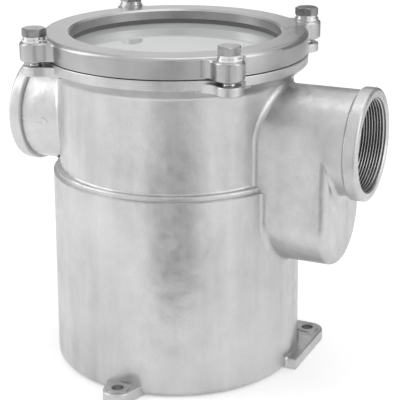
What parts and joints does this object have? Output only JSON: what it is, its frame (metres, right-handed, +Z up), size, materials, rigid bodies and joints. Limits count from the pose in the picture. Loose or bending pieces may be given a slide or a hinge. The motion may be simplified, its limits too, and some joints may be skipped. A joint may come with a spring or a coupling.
{
  "type": "sea water strainer",
  "caption": "Cast stainless sea water strainer: round housing with opposite threaded ports and a side chamber, bolted cover ring with sight glass, lift-out perforated basket.",
  "frame": {"origin": "on the barrel's axis in the plane of the feet's underside", "axes": "+X out of the outlet, -X out of the inlet, +Z up through the sight glass, -Y towards the single front foot"},
  "size_m": [0.3064, 0.2354, 0.2908],
  "materials": {
    "casting": "satin, pickled and blasted casting",
    "ring_steel": "satin with turned faces",
    "glass": "clear, polished",
    "gasket_rubber": "matte",
    "basket_steel": "satin sheet",
    "handle_wire": "drawn wire, semi-bright",
    "washer_steel": "polished",
    "bolt_steel": "satin"
  },
  "bodies": {
    "strainer": {"housing": "casting", "cover_ring": "ring_steel", "sight_glass": "glass", "seat_gasket": "gasket_rubber", "lip_gasket": "gasket_rubber", "basket_wall_1": "basket_steel", "basket_wall_2": "basket_steel", "basket_wall_3": "basket_steel", "basket_wall_4": "basket_steel", "basket_floor": "basket_steel", "basket_rim": "basket_steel", "handle_lug_1": "basket_steel", "handle_lug_2": "basket_steel", "flat_washer_1": "washer_steel", "spring_washer_1": "washer_steel", "flat_washer_2": "washer_steel", "spring_washer_2": "washer_steel", "flat_washer_3": "washer_steel", "spring_washer_3": "washer_steel", "flat_washer_4": "washer_steel", "spring_washer_4": "washer_steel"},
    "bolt_1": {"cover_bolt_1": "bolt_steel"},
    "bolt_2": {"cover_bolt_2": "bolt_steel"},
    "bolt_3": {"cover_bolt_3": "bolt_steel"},
    "bolt_4": {"cover_bolt_4": "bolt_steel"},
    "bail": {"basket_handle": "handle_wire"}
  },
  "joints": [
    {"name": "bolt_turn_1", "type": "hinge", "parent": "strainer", "child": "bolt_1", "pos_m": [0.08309, 0.08309, 0.2844], "axis": [0, 0, 1], "continuous": true},
    {"name": "bolt_turn_2", "type": "hinge", "parent": "strainer", "child": "bolt_2", "pos_m": [-0.08309, 0.08309, 0.2844], "axis": [0, 0, 1], "continuous": true},
    {"name": "bolt_turn_3", "type": "hinge", "parent": "strainer", "child": "bolt_3", "pos_m": [-0.08309, -0.08309, 0.2844], "axis": [0, 0, 1], "continuous": true},
    {"name": "bolt_turn_4", "type": "hinge", "parent": "strainer", "child": "bolt_4", "pos_m": [0.08309, -0.08309, 0.2844], "axis": [0, 0, 1], "continuous": true},
    {"name": "bail_swing", "type": "hinge", "parent": "strainer", "child": "bail", "pos_m": [0, 0, 0.17], "axis": [0, 1, 0], "range_deg": [0, 181.2]}
  ]
}
